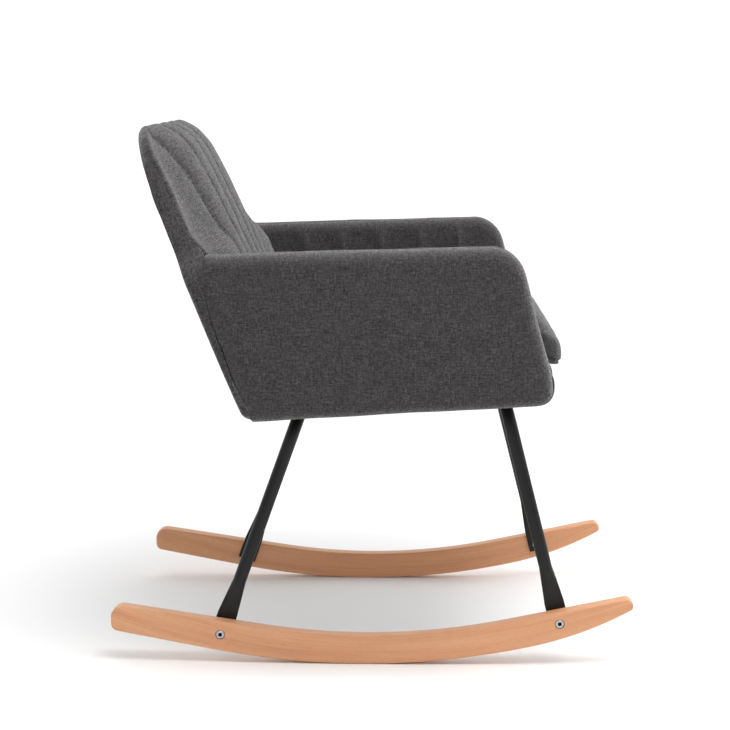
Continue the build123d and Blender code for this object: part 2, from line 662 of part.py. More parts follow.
def build():
    parts = {}
    right_rocker = rocker()
    parts["rocker_right"] = right_rocker
    parts["rocker_left"] = mirrored(right_rocker)
    parts["rocker_bolts"] = both_sides(rocker_bolt)
    parts["rocker_washers"] = both_sides(rocker_washer)
    parts["rocker_cap_nuts"] = both_sides(rocker_cap_nut)
    for end, bolt, lean in (("front", FRONT_BOLT, FRONT_LEAN), ("rear", REAR_BOLT, REAR_LEAN)):
        parts[f"{end}_leg_frame"] = leg_frame(bolt, lean)
        parts[f"mounting_plate_{end}_right"] = mounting_plate(bolt, lean, 1)
        parts[f"mounting_plate_{end}_left"] = mounting_plate(bolt, lean, -1)
    holes = all_plate_holes()
    parts["frame_bolts"] = Compound([frame_bolt(*hole) for hole in holes])
    parts["frame_washers"] = Compound([frame_washer(*hole) for hole in holes])
    parts["tee_nuts"] = Compound([tee_nut(*hole) for hole in holes])
    parts["seat_panel"] = seat_panel()
    parts["seat_rail_right"] = side_rail(1)
    parts["seat_rail_left"] = side_rail(-1)
    parts["seat_rail_front"] = front_rail()
    parts["seat_rail_rear"] = rear_rail()
    for number in range(WEB_COUNT):
        parts[f"seat_web_{number + 1}"] = web_strap(WEB_FIRST + number * WEB_PITCH)
    board = arm_board()
    parts["arm_board_right"] = board
    parts["arm_board_left"] = mirrored(board)
    arm_bolts = [arm_bolt(y, side) for y in ARM_BOLT_Y for side in (-1, 1)]
    parts["arm_bolts"] = Compound(arm_bolts)
    parts.update(back_frame())
    for number, level in enumerate(BACK_WEB_LEVELS):
        parts[f"back_web_{number + 1}"] = back_web(level)
    parts["back_bolts"] = Compound([back_bolt(x) for x in BACK_BOLT_X])
    outer = arm_outer_pad()
    parts["arm_outer_pad_right"] = outer
    parts["arm_outer_pad_left"] = mirrored(outer)
    inner = arm_inner_pad()
    parts["arm_inner_pad_right"] = inner
    parts["arm_inner_pad_left"] = mirrored(inner)
    parts["back_rear_pad"] = back_rear_pad()
    parts["back_front_pad"] = back_front_pad()
    parts["front_rail_pad"] = front_rail_pad()
    parts["seat_cushion"] = seat_cushion()
    parts["dust_cover"] = dust_cover()
    return parts


os.makedirs("parts", exist_ok=True)
for name, shape in build().items():
    export_step(shape, f"parts/{name}.step")
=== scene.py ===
"""Upholstered rocking chair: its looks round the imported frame. Metres, +Z up, the chair faces -Y."""

import math

import bmesh
import bpy
import numpy as np
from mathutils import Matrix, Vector, noise


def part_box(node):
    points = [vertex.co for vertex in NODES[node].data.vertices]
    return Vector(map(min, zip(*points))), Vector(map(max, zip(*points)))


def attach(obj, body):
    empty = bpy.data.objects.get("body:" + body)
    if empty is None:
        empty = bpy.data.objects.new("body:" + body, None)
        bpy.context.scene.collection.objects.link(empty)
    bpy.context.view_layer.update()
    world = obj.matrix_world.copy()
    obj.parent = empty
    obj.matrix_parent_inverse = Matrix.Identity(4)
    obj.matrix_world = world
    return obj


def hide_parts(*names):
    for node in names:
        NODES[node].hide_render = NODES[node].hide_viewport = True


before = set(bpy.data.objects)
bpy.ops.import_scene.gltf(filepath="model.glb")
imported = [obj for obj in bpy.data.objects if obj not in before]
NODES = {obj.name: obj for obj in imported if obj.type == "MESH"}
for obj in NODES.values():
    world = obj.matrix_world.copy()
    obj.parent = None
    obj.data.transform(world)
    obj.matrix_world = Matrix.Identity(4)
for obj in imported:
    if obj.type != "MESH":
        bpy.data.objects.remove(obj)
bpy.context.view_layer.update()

# ---------------------------- driving sizes
RECLINE = math.radians(22.3)
BACK_FOOT = (0.173, 0.373)     # lower rear corner of the back, (y, z)
SEAT_TILT = math.radians(3.7)
SEAT_Z = 0.391                 # underside of the seat panel at y = 0
DECK = 0.042                   # height of the webbing over it
SHELL_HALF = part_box("arm_outer_pad_right")[1].x
ARM_SEAM_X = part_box("arm_outer_pad_right")[0].x
ARM_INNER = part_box("arm_inner_pad_right")[0].x
BACK_TOP = 0.430               # height along the reclined back
BACK_HALF = 0.285
BACK_CORNER = 0.048
BACK_PAD_LOW = 0.045           # lower edge of the channelled front
CHANNELS = 2.5                 # the outermost sewn seams lie this many channels from the middle
CHANNEL_DEPTH = 0.0066
FAN_UP = 0.220                 # height along the back at which a channel has its width
FAN_WIDTH = 0.0596
FAN_SPREAD = 0.0779            # how much wider a channel grows, per metre up
TAPER_UP = 0.246               # height along the back at which its sides begin to lean in
TAPER = 0.342
BEHIND_ARMS = 0.026            # how much narrower the front is between the arms
ARMS_UP = 0.236
REAR_LOW_ROUND = 0.016         # rounded lower edge of the back's rear cover
TURN_IN = 0.0045               # how far the rear cover's hem turns in behind its seam
COVER_THICK = 0.0035           # cloth and wadding on the rear
SHRINK = 0.985                 # inner sheet of a cover, against its outer one
ARM_TOP_Z = 0.616
ARM_REAR_TOP_Z = 0.602
ARM_LENGTH = 0.43              # over which the arm's top falls to the rear
ARM_RISE = 0.0621              # slope of the arm's lower edge
ARM_FOOT_Y = -0.252            # front of the arm, below its rake
ARM_FOOT_Z = 0.399
ARM_RAKE_Z = 0.4333            # the rake begins here, and meets the rounded corner at its end
ARM_RAKE_END = 0.5793
ARM_RAKE = 0.2764
ARM_FRONT_R = 0.050            # rounded upper front corner of the arm
ARM_FRONT_ARC = (-0.1634, ARM_TOP_Z - ARM_FRONT_R)
ARM_LOW_R = 0.022              # rounded lower front corner
OUTER_ROUND = 0.017            # rounded edge between the arm's outer side and its top
LINING_ROUND = 0.0155          # and between its top and the lining
LINING_SEAM_Z = 0.600          # height at which the seams' places are given
LINING_SEAMS = (0.128, 0.063, -0.002, -0.070, -0.135)
LINING_LEANS = (11.0, 6.0, 5.5, 5.0, 4.0)                # degrees
LINING_DEPTH = 0.0062
ROLL_REAR = -0.229             # rear and middle height of the roll, on the seat
ROLL_MIDDLE = 0.016
ROLL_REACH = 0.031             # how far it stands forward of its rear
CUSHION_VOXEL = 0.006
CUSHION_FRONT = -0.274         # along the seat
CLOTH_FRAMES = 20
DUST_FRONT = -0.226            # dust cloth's front and rear edges, along the seat
DUST_REAR = 0.130
OPENING_X = 0.023              # half of the opening round a mounting plate
OPENING_Y = 0.034
CAMERA_PLACE = (-2.464, -0.0523, 0.8166)
CAMERA_YAW = 0.0271
CAMERA_PITCH = 0.1652
CAMERA_LENS = 79.13            # millimetres, on a 36 mm sensor


# ---------------------------- number helpers
def smooth(t):
    """0 to 1 with level ends."""
    t = np.clip(t, 0.0, 1.0)
    return t * t * (3 - 2 * t)


def mix(a, b, t):
    return a + (b - a) * t


def signed_power(x, power):
    """A power of x that keeps its sign."""
    return np.sign(x) * np.abs(x) ** power


def soft_ramp(x, width):
    """0 below, x above, and a parabola between -width and width."""
    curved = (x + width) ** 2 / (4 * width)
    return np.where(x < -width, 0.0, np.where(x > width, x, curved))


def curve(points, x):
    """Smooth curve through (x, value) points, level beyond its ends."""
    px, py = np.array(points, float).T
    slopes = np.gradient(py, px)
    x = np.clip(x, px[0], px[-1])
    i = np.clip(np.searchsorted(px, x) - 1, 0, len(px) - 2)
    span = px[i + 1] - px[i]
    t = (x - px[i]) / span
    low = (1 + 2 * t) * (1 - t) ** 2 * py[i] + t * (1 - t) ** 2 * span * slopes[i]
    high = t * t * (3 - 2 * t) * py[i + 1] + t * t * (t - 1) * span * slopes[i + 1]
    return low + high


def spaced(total, low_zone, high_zone, counts):
    """Shares from 0 to 1 that crowd together at both ends, where the edges are rounded."""
    low, middle, high = counts
    start = low_zone * (1 - np.cos(np.linspace(0, math.pi / 2, low + 1)))
    inner = np.linspace(low_zone, total - high_zone, middle + 1)[1:-1]
    end = total - high_zone * (1 - np.sin(np.linspace(0, math.pi / 2, high + 1)))
    return np.concatenate([start, inner, end]) / total


def distance_to(points, line):
    """Shortest distance in a plane from each point to a polyline."""
    flat = points.reshape(-1, 2)
    best = np.full(len(flat), 1e9)
    for start, end in zip(line[:-1], line[1:]):
        step = end - start
        length = max(float(step @ step), 1e-12)
        t = np.clip((flat - start) @ step / length, 0, 1)
        best = np.minimum(best, np.linalg.norm(flat - start - t[:, None] * step, axis=1))
    return best.reshape(points.shape[:-1])


def fillet_drop(distance, reach, drop):
    """How far a rounded edge falls away within reach of the edge."""
    share = np.clip(1 - distance / reach, 0, 1)
    return drop * (1 - np.sqrt(1 - share**2))


def back_points(x, up, depth):
    """World points from coordinates on the back: sideways, along it, and forward of its rear."""
    y = BACK_FOOT[0] + up * math.sin(RECLINE) - depth * math.cos(RECLINE)
    z = BACK_FOOT[1] + up * math.cos(RECLINE) + depth * math.sin(RECLINE)
    return np.stack(np.broadcast_arrays(x, y, z), -1)


def on_back(at, depth):
    """World points of (sideways, along the back) points at a depth forward of its rear."""
    return back_points(at[..., 0], at[..., 1], depth)


def on_arm(at, x):
    """World points of (y, z) points on the right arm, x from the chair's middle."""
    return np.stack(np.broadcast_arrays(x, at[..., 0], at[..., 1]), -1)


def seat_points(x, y, height):
    """World points from coordinates on the tilted seat."""
    world_y = y * math.cos(SEAT_TILT) + height * math.sin(SEAT_TILT)
    world_z = SEAT_Z - y * math.sin(SEAT_TILT) + height * math.cos(SEAT_TILT)
    return np.stack(np.broadcast_arrays(x, world_y, world_z), -1)


# ---------------------------- mesh helpers
def edge_loop(rows, cols):
    """Numbers of a grid's edge vertices, once round."""
    low = [(0, j) for j in range(cols)]
    right = [(i, cols - 1) for i in range(1, rows)]
    high = [(rows - 1, j) for j in range(cols - 2, -1, -1)]
    left = [(i, 0) for i in range(rows - 2, 0, -1)]
    return np.array([i * cols + j for i, j in low + right + high + left])


def edge_normals(flat):
    """Outward directions in the plane of a closed loop of (u, v) points."""
    along = np.roll(flat, -1, 0) - np.roll(flat, 1, 0)
    normal = np.stack([along[:, 1], -along[:, 0]], -1)
    normal /= np.maximum(np.linalg.norm(normal, axis=1, keepdims=True), 1e-9)
    centre = flat.mean(0)
    facing = np.sign(((flat - centre) * normal).sum(1).mean())
    return normal * facing


def edge_rings(outline, steps, place):
    """Rings of world points, one for each (distance in from the outline, level) step."""
    out = edge_normals(outline)
    return [place(outline - out * inset, level) for inset, level in steps]


def new_piece(name, points, faces, weave):
    """Smooth mesh object that rides on the chair."""
    mesh = bpy.data.meshes.new(name)
    mesh.from_pydata(points.tolist(), [], faces)
    bm = bmesh.new()
    bm.from_mesh(mesh)
    bmesh.ops.recalc_face_normals(bm, faces=bm.faces)
    bm.to_mesh(mesh)
    bm.free()
    mesh.shade_smooth()
    set_weave(mesh, weave)
    piece = bpy.data.objects.new(name, mesh)
    bpy.context.scene.collection.objects.link(piece)
    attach(piece, "chair")
    return piece


def set_weave(mesh, weave):
    """Stores the cloth's own coordinates, in metres, which its material reads."""
    attribute = mesh.attributes.new("weave", "FLOAT_VECTOR", "POINT")
    values = np.zeros((len(mesh.vertices), 3), np.float32)
    values[:, :2] = weave
    attribute.data.foreach_set("vector", values.ravel())


def sheet_faces(rows, cols):
    """Faces of a grid of vertices."""
    faces = []
    for i in range(rows - 1):
        for j in range(cols - 1):
            start = i * cols + j
            faces.append([start, start + 1, start + cols + 1, start + cols])
    return faces


def band_faces(loops):
    """Faces between each closed loop of vertex numbers and the next."""
    faces = []
    for a, b in zip(loops[:-1], loops[1:]):
        faces += np.stack([a, b, np.roll(b, -1), np.roll(a, -1)], -1).tolist()
    return faces


def ring_cloth(front, rings, flat, loop):
    """Cloth coordinates of the rings, which run on outwards from the front sheet's edge."""
    rows, cols = front.shape[:2]
    i, j = np.divmod(loop, cols)
    inner = np.clip(i, 1, rows - 2) * cols + np.clip(j, 1, cols - 2)
    out = flat[loop] - flat[inner]
    out /= np.maximum(np.linalg.norm(out, axis=1, keepdims=True), 1e-9)
    here = front.reshape(-1, 3)[loop]
    walked = np.zeros((len(loop), 1))
    cloth = []
    for ring in rings:
        walked = walked + np.linalg.norm(ring - here, axis=1, keepdims=True)
        here = ring
        cloth.append(flat[loop] + out * walked)
    return cloth


def closed_form(name, front, rings, rear, cloth):
    """Closed mesh: a front sheet, rings that carry its edge round, and a rear sheet."""
    rows, cols = front.shape[:2]
    loop = edge_loop(rows, cols)
    last = rows * cols + len(rings) * len(loop)
    sheet = sheet_faces(rows, cols)
    faces = sheet + [[last + n for n in reversed(face)] for face in sheet]
    starts = [rows * cols + number * len(loop) for number in range(len(rings))]
    ring_loops = [start + np.arange(len(loop)) for start in starts]
    faces += band_faces([loop, *ring_loops, last + loop])
    flat = cloth.reshape(-1, 2)
    points = [front.reshape(-1, 3), *rings, rear.reshape(-1, 3)]
    weave = [flat, *ring_cloth(front, rings, flat, loop), flat]
    return new_piece(name, np.concatenate(points), faces, np.concatenate(weave))


def normals_of(mesh):
    values = np.zeros(len(mesh.vertices) * 3, np.float32)
    mesh.vertex_normals.foreach_get("vector", values)
    return values.reshape(-1, 3).astype(float)


def points_of(mesh):
    values = np.zeros(len(mesh.vertices) * 3, np.float32)
    mesh.vertices.foreach_get("co", values)
    return values.reshape(-1, 3).astype(float)


def set_points(mesh, points):
    mesh.vertices.foreach_set("co", points.astype(np.float32).ravel())
    mesh.update()


def push(piece, amount):
    """Moves each point along its normal."""
    mesh = piece.data
    set_points(mesh, points_of(mesh) + normals_of(mesh) * np.asarray(amount).reshape(-1, 1))


def ripples(piece, size, depth, seed):
    """Slow unevenness of stuffing under stretched cloth."""
    offset = Vector((seed * 3.1, seed * 1.7, seed * 2.3))
    at = points_of(piece.data) / size
    return depth * np.array([noise.noise(Vector(p) + offset) for p in at])


def mirrored(piece, name):
    """The other side's copy."""
    mesh = piece.data.copy()
    set_points(mesh, points_of(mesh) * (-1, 1, 1))
    mesh.flip_normals()
    mesh.update()
    twin = bpy.data.objects.new(name, mesh)
    bpy.context.scene.collection.objects.link(twin)
    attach(twin, "chair")
    return twin


# ---------------------------- back
def back_half(up):
    """Half width of the back: straight, then tapering to a rounded top corner."""
    half = BACK_HALF - TAPER * soft_ramp(up - TAPER_UP, 0.03)
    into = np.clip(up - (BACK_TOP - BACK_CORNER), 0, BACK_CORNER)
    return half - BACK_CORNER + np.sqrt(BACK_CORNER**2 - into**2)


def seam_depth(up):
    """How far forward the rear cover wraps, up to its seam, by height along the back."""
    foot = [(0, 0.010), (0.03, 0.009), (0.11, 0.0125), (0.14, 0.0135)]
    arm_top = [(0.167, 0.0183), (0.207, 0.0283), (0.232, 0.0395), (0.247, 0.0355), (0.262, 0.0295)]
    side = [(0.289, 0.027), (0.336, 0.024), (0.374, 0.0195), (0.40, 0.0178), (0.43, 0.0168)]
    return curve(foot + arm_top + side, up)


def corner_levels():
    """Row heights round the back's top corners."""
    return BACK_TOP - BACK_CORNER * (1 - np.sin(np.linspace(0, math.pi / 2, 22)))


def back_levels():
    """Row heights on the channelled front."""
    straight = np.linspace(BACK_PAD_LOW, BACK_TOP - BACK_CORNER, 84)[:-1]
    return np.concatenate([straight, corner_levels()])


def back_columns():
    """Column numbers across the back in channels, each outer panel counted as one channel."""
    inner = np.linspace(-CHANNELS, CHANNELS, 5 * 14 + 1)
    outer = CHANNELS + spaced(1.0, 0.25, 0.25, (5, 9, 6))[1:]
    return np.concatenate([-outer[::-1], inner, outer])


def channel_dip(share, depth):
    """Fall of the cloth from a channel's crown, share 0, to the sewn seam, share 1."""
    share = np.abs(share)
    return -depth * (0.62 * share**2.3 + 0.38 * share**13)


def back_crest(up):
    """Depth of the back at its middle, which thins towards the top."""
    low = [(0.04, 0.074), (0.20, 0.071), (0.30, 0.068), (0.36, 0.0635)]
    high = [(0.395, 0.056), (0.415, 0.045), (0.43, 0.031)]
    return curve(low + high, up)


def back_front(column, up):
    """Sideways place and depth of the channelled front, from column numbers and heights."""
    half = back_half(up) - BEHIND_ARMS * smooth((ARMS_UP - up) / 0.026)
    channel = FAN_WIDTH + FAN_SPREAD * (up - FAN_UP)
    outer_seam = np.minimum(CHANNELS * channel, half - 0.005)
    beyond = np.clip(np.abs(column) - CHANNELS, 0, 1)
    inside = np.clip(column / CHANNELS, -1, 1)
    x = inside * outer_seam + np.sign(column) * beyond * (half - outer_seam)
    crest = back_crest(up)
    edge = seam_depth(up) + 0.0032
    square = np.clip((0.262 - up) / 0.062, 0, 1) ** 2.5
    bend = curve([(0.20, 4.2), (0.275, 4.3), (0.33, 5.0), (0.37, 5.6)], up)
    power = mix(bend, 24.0, square)
    sharp = mix(4.0, 3.0, square)
    share = np.clip(np.abs(x) / back_half(up), 0, 1)
    return x, edge + (crest - edge) * (1 - share**power) ** sharp


def dip_of_columns(column):
    """Channel dip for each column, easing out over the outer panels."""
    inner = channel_dip(2 * ((column + 0.5) % 1.0) - 1, CHANNEL_DEPTH)
    outer = channel_dip(np.clip(1 - 2.2 * (np.abs(column) - CHANNELS), 0, 1), CHANNEL_DEPTH)
    return np.where(np.abs(column) <= CHANNELS + 1e-9, inner, outer)


def back_front_cover():
    """Channelled front of the back, with its edge turned in to the rear cover's seam."""
    column, up = np.meshgrid(back_columns(), back_levels())
    x, depth = back_front(column, up)
    flat = np.stack([x, up], -1)
    loop = edge_loop(*column.shape)
    outline = flat.reshape(-1, 2)[loop]
    sides_and_top = outline[column.shape[1] - 1:]
    from_edge = distance_to(flat, sides_and_top)
    depth = depth - fillet_drop(from_edge, 0.006, 0.004)
    edge_depth = depth.reshape(-1)[loop]
    seam = np.minimum(seam_depth(outline[:, 1]) + 0.0006, edge_depth - 0.0004)
    steps = ((0.0, mix(edge_depth, seam, 0.5)), (0.0, seam), (0.0022, seam - 0.0012), (0.004, 0.008))
    rings = edge_rings(outline, steps, on_back)
    hollow = np.where(from_edge > 0.027, 0.0245, 0.008)
    rear = back_points(x * SHRINK, mix(BACK_PAD_LOW, up, SHRINK), hollow)
    piece = closed_form("back_front_cover", on_back(flat, depth), rings, rear, flat)
    sew_channels(piece, dip_of_columns(column).reshape(-1), from_edge.reshape(-1), outline, loop)
    push(piece, ripples(piece, 0.07, 0.0012, 1) + ripples(piece, 0.022, 0.0005, 2))
    return piece


def sew_channels(piece, dip, from_edge, outline, loop):
    """Draws the seams in, less so near the edge, and over it at the top."""
    near_top = 1.0 * (BACK_TOP - outline[:, 1] < 0.035)
    on_front = dip * (0.25 + 0.75 * smooth(from_edge / 0.02 + 0.3))
    on_edge = dip[loop] * near_top
    unseen = np.zeros(2 * len(loop) + len(dip))
    push(piece, np.concatenate([on_front, 0.5 * on_edge, 0.35 * on_edge, unseen]))


def rear_half(up):
    """Half width of the rear cover, which widens to the arms' outer faces below the arm tops."""
    into_arm = 1 - smooth((up - 0.205) / 0.05)
    below = np.clip(REAR_LOW_ROUND - up, 0, REAR_LOW_ROUND)
    rounded = REAR_LOW_ROUND - np.sqrt(REAR_LOW_ROUND**2 - below**2)
    return mix(back_half(up), SHELL_HALF - 0.002, into_arm) - rounded


def rear_levels():
    """Row heights on the rear cover, close together at both rounded ends."""
    low = REAR_LOW_ROUND * (1 - np.cos(np.linspace(0, math.pi / 2, 9)))
    middle = np.linspace(REAR_LOW_ROUND, BACK_TOP - BACK_CORNER, 70)[1:-1]
    return np.concatenate([low, middle, corner_levels()])


def rear_rounding(up):
    """How far in from the rear cover's edge its rounding begins."""
    low = [(0, 0.018), (0.03, 0.012), (0.2, 0.010), (0.25, 0.006)]
    high = [(0.37, 0.006), (0.40, 0.02), (0.43, 0.024)]
    return curve(low + high, up)


def rear_cover():
    """Plain rear of the back, with its edge wrapped forward to the seam."""
    across = 2 * spaced(0.6, 0.02, 0.02, (8, 44, 8)) - 1
    u, up = np.meshgrid(across, rear_levels())
    x = u * rear_half(up)
    flat = np.stack([x, up], -1)
    loop = edge_loop(*x.shape)
    outline = flat.reshape(-1, 2)[loop]
    from_edge = distance_to(flat, np.concatenate([outline, outline[:1]]))
    reach = rear_rounding(up)
    depth = fillet_drop(from_edge, reach, np.minimum(reach * 0.85, 0.014))
    edge_depth = depth.reshape(-1)[loop]
    seam = np.maximum(seam_depth(outline[:, 1]), edge_depth + 0.002)
    steps = ((0.0, mix(edge_depth, seam, 0.45)), (0.0, seam - 0.0014), (0.0020, seam),
             (TURN_IN, seam - 0.0012), (TURN_IN, edge_depth + COVER_THICK))
    rings = edge_rings(outline, steps, on_back)
    narrower = 1 - TURN_IN / np.maximum(rear_half(up), 0.1)
    inner_up = np.clip(up, TURN_IN, BACK_TOP - TURN_IN)
    rear = back_points(x * narrower, inner_up, depth + COVER_THICK)
    piece = closed_form("back_rear_cover", on_back(flat, depth), rings, rear, flat)
    calm = np.ones(len(piece.data.vertices))
    calm[x.size:] = 0.4
    push(piece, calm * ripples(piece, 0.12, 0.0012, 3))
    return piece


# ---------------------------- arms
def arm_top(y):
    """Height of the arm's top, which falls a little to the rear."""
    share = np.clip((y - ARM_FRONT_ARC[0]) / ARM_LENGTH, 0, 1)
    return mix(ARM_TOP_Z, ARM_REAR_TOP_Z, share)


def arm_bottom(y):
    """Height of the arm's lower edge, which rises a little to the front."""
    return BACK_FOOT[1] + (BACK_FOOT[0] - y) * ARM_RISE


def deck_line(y):
    """Height of the deck that the cushion lies on."""
    return SEAT_Z + DECK + 0.001 - y * math.tan(SEAT_TILT)


def arm_front(z):
    """Front edge of the arm: vertical foot, raked face and two rounded corners."""
    raked = ARM_FOOT_Y + ARM_RAKE * soft_ramp(z - ARM_RAKE_Z, 0.03)
    rise = np.clip(z - ARM_FRONT_ARC[1], 0, ARM_FRONT_R)
    arc = ARM_FRONT_ARC[0] - np.sqrt(ARM_FRONT_R**2 - rise**2)
    y = np.where(z > ARM_RAKE_END, arc, raked)
    into = np.clip(ARM_FOOT_Z + ARM_LOW_R - z, 0, ARM_LOW_R)
    return y + ARM_LOW_R - np.sqrt(ARM_LOW_R**2 - into**2)


def rear_line(z, depth):
    """(y, height along the back) of a point at height z, depth forward of the back's rear."""
    up = (z - BACK_FOOT[1] - depth * math.sin(RECLINE)) / math.cos(RECLINE)
    return BACK_FOOT[0] + up * math.sin(RECLINE) - depth * math.cos(RECLINE), up


def front_line(t, low_line):
    """y of the arm's front edge, at each share t of its height."""
    y = np.full(len(t), -0.24)
    for _ in range(12):
        y = arm_front(mix(low_line(y), arm_top(y), t))
    return y


def joint_line(t, low_line, rear_depth):
    """y of the arm's rear edge, where it joins the back, at each share t of its height."""
    y = np.full(len(t), 0.22)
    reach = 0.02
    for _ in range(12):
        z = mix(low_line(y), arm_top(y), t)
        _, up = rear_line(z, reach)
        reach = rear_depth(up)
        y, _ = rear_line(z, reach)
    return y


def arm_grid(shares, t, low_line, rear_depth):
    """Grid of (y, z) over the arm's side, from its rear edge to its front edge."""
    rear = joint_line(t, low_line, rear_depth)[:, None]
    front = front_line(t, low_line)[:, None]
    y = mix(rear, front, shares[None, :])
    z = mix(low_line(y), arm_top(y), t[:, None])
    return y, z


def wrapped(y, z, drop, low_line):
    """Cloth coordinates of a sheet whose rounded top, front and bottom fall away by drop."""
    gaps = np.stack([arm_top(y) - z, y - arm_front(z), z - low_line(y)])
    nearest = gaps.argmin(0)
    across = y - np.where(nearest == 1, drop, 0)
    along = z + np.where(nearest == 0, drop, 0) - np.where(nearest == 2, drop, 0)
    return np.stack([across, along], -1)


def arm_outer_cover():
    """Smooth outer panel with the outer half of the arm's top and front."""
    t = spaced(0.235, 0.018, 0.05, (8, 22, 20))
    s = spaced(0.44, 0.008, 0.05, (4, 46, 16))
    y, z = arm_grid(s, t, arm_bottom, lambda up: seam_depth(up) + 0.0005)
    rows, cols = y.shape
    flat = np.stack([y, z], -1)
    loop = edge_loop(rows, cols)
    outline = flat.reshape(-1, 2)[loop]
    from_edge = distance_to(flat, outline[:2 * cols + rows - 2])
    from_rear = distance_to(flat, flat[:, 0])
    drop = fillet_drop(from_edge, OUTER_ROUND, OUTER_ROUND)
    x = SHELL_HALF - 0.0005 - 0.003 * np.exp(-from_edge / 0.05) - drop
    x = x - fillet_drop(from_rear, 0.0035, 0.0016)
    rings = edge_rings(outline, outer_steps(x.reshape(-1)[loop]), on_arm)
    pocket = (from_edge > 0.026) & (from_rear > 0.02)
    inner = mix(outline.mean(0), flat, SHRINK)
    rear = on_arm(inner, np.where(pocket, ARM_SEAM_X + 0.0185, ARM_SEAM_X + 0.0002))
    cloth = wrapped(y, z, drop, arm_bottom)
    piece = closed_form("arm_outer_cover_right", on_arm(flat, x), rings, rear, cloth)
    push(piece, ripples(piece, 0.10, 0.0014, 5) + ripples(piece, 0.03, 0.0004, 6))
    return piece


def outer_steps(edge_x):
    """Rings over the arm's top and front: the cloth swells a little, then dips to its seam."""
    crown = 0.0012
    swells = ((0.12, 0.4), (0.35, 0.9), (0.62, 1.0), (0.86, 0.7), (0.955, 0.0), (1.0, -1.6))
    return [(-swell * crown, mix(edge_x, ARM_SEAM_X + 0.0002, share)) for share, swell in swells]


def lining_seam_lines(z):
    """y of each sewn seam at height z, rear to front."""
    lean = np.tan(np.radians(LINING_LEANS))
    return np.array(LINING_SEAMS) + (np.asarray(z)[..., None] - LINING_SEAM_Z) * lean


def lining_channels():
    """Column numbers over the lining's six channels, closest together in the front one."""
    even = np.linspace(0, 5, 5 * 14 + 1)[:-1]
    return np.concatenate([even, 5 + spaced(1.0, 0.3, 0.3, (4, 10, 14))])


def lining_grid(channels, t, depth):
    """(y, z) over the lining, from a depth forward of the back's rear to the arm's front."""
    y, z = arm_grid(np.array([0.0, 1.0]), t, deck_line, lambda up: np.full_like(up, depth))
    seams = lining_seam_lines(mix(z[:, 0], z[:, 1], 0.5))
    knots = np.concatenate([y[:, :1], seams, y[:, 1:]], 1)
    rows_y = np.array([np.interp(channels, np.arange(7), k) for k in knots])
    rows_z = mix(deck_line(rows_y), arm_top(rows_y), t[:, None])
    return rows_y, rows_z


def lining_rings(outline, hidden, edge_x):
    """The lining's edge carried outwards to its seam with the outer cover, and under it."""
    out = edge_normals(outline)
    rings = []
    for share, inset in ((0.6, 0.0), (1.0, 0.0018)):
        at = mix(outline, hidden, share) - out * inset
        rings.append(on_arm(at, mix(edge_x, ARM_SEAM_X - 0.0004, share)))
    return rings


def arm_lining():
    """Channelled inner side of the arm, which turns over onto its top."""
    t = spaced(0.17, 0.01, 0.05, (3, 20, 20))
    channels = lining_channels()
    y, z = lining_grid(channels, t, 0.048)
    rows, cols = y.shape
    flat = np.stack([y, z], -1)
    loop = edge_loop(rows, cols)
    outline = flat.reshape(-1, 2)[loop]
    from_edge = distance_to(flat, outline[cols - 1:2 * cols + rows - 2])
    drop = fillet_drop(from_edge, LINING_ROUND, LINING_ROUND)
    x = ARM_INNER + 0.0008 + drop
    behind = np.stack(lining_grid(channels, t, 0.038), -1)
    hidden = behind.reshape(-1, 2)[loop]
    rings = lining_rings(outline, hidden, x.reshape(-1)[loop])
    rear = on_arm(mix(hidden.mean(0), behind, SHRINK), ARM_SEAM_X - 0.0004)
    cloth = wrapped(y, z, drop, lambda at: deck_line(at) - 0.05)
    piece = closed_form("arm_lining_right", on_arm(flat, x), rings, rear, cloth)
    share = np.where((channels < 0.5) | (channels > 5.5), 0, 2 * (channels % 1.0) - 1)
    fade = 0.12 + 0.88 * smooth((from_edge - 0.002) / 0.03)
    amount = np.zeros(len(piece.data.vertices))
    amount[:y.size] = (channel_dip(share, LINING_DEPTH) * fade).reshape(-1)
    push(piece, amount)
    push(piece, ripples(piece, 0.06, 0.0008, 8))
    return piece


# ---------------------------- seat
def front_roll():
    """Padded roll over the front of the seat, under the loose cushion."""
    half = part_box("front_rail_pad")[1].x
    across = 2 * spaced(0.53, 0.02, 0.02, (6, 60, 6)) - 1
    u, v = np.meshgrid(across, np.linspace(0, 1, 40))
    x = u * half
    angle = mix(math.radians(97), math.radians(-97), v)
    rise = np.where(angle < 0, 0.0305, 0.0245)
    squeeze = 1 - 0.10 * fillet_drop((1 - np.abs(u)) * half, 0.02, 1.0)
    y = ROLL_REAR - ROLL_REACH * squeeze * signed_power(np.cos(angle), 0.75)
    height = ROLL_MIDDLE + rise * squeeze * signed_power(np.sin(angle), 0.85)
    sag = 0.0016 * np.sin(x * 31) * np.cos(angle) + 0.001 * np.sin(x * 67 + 1.3)
    front = seat_points(x, y - sag, height)
    rear = seat_points(x, np.full_like(y, ROLL_REAR + 0.0005), height)
    piece = closed_form("front_rail_cover", front, [], rear, np.stack([x, v * 0.075], -1))
    push(piece, ripples(piece, 0.05, 0.0010, 11))
    return piece


def apply_modifiers(piece):
    """Replaces the piece's mesh by what its modifiers make of it."""
    done = evaluated_mesh(piece)
    piece.modifiers.clear()
    piece.data = done


def evaluated_mesh(piece):
    """New mesh of a piece as its modifiers leave it."""
    bpy.context.view_layer.update()
    graph = bpy.context.evaluated_depsgraph_get()
    return bpy.data.meshes.new_from_object(piece.evaluated_get(graph))


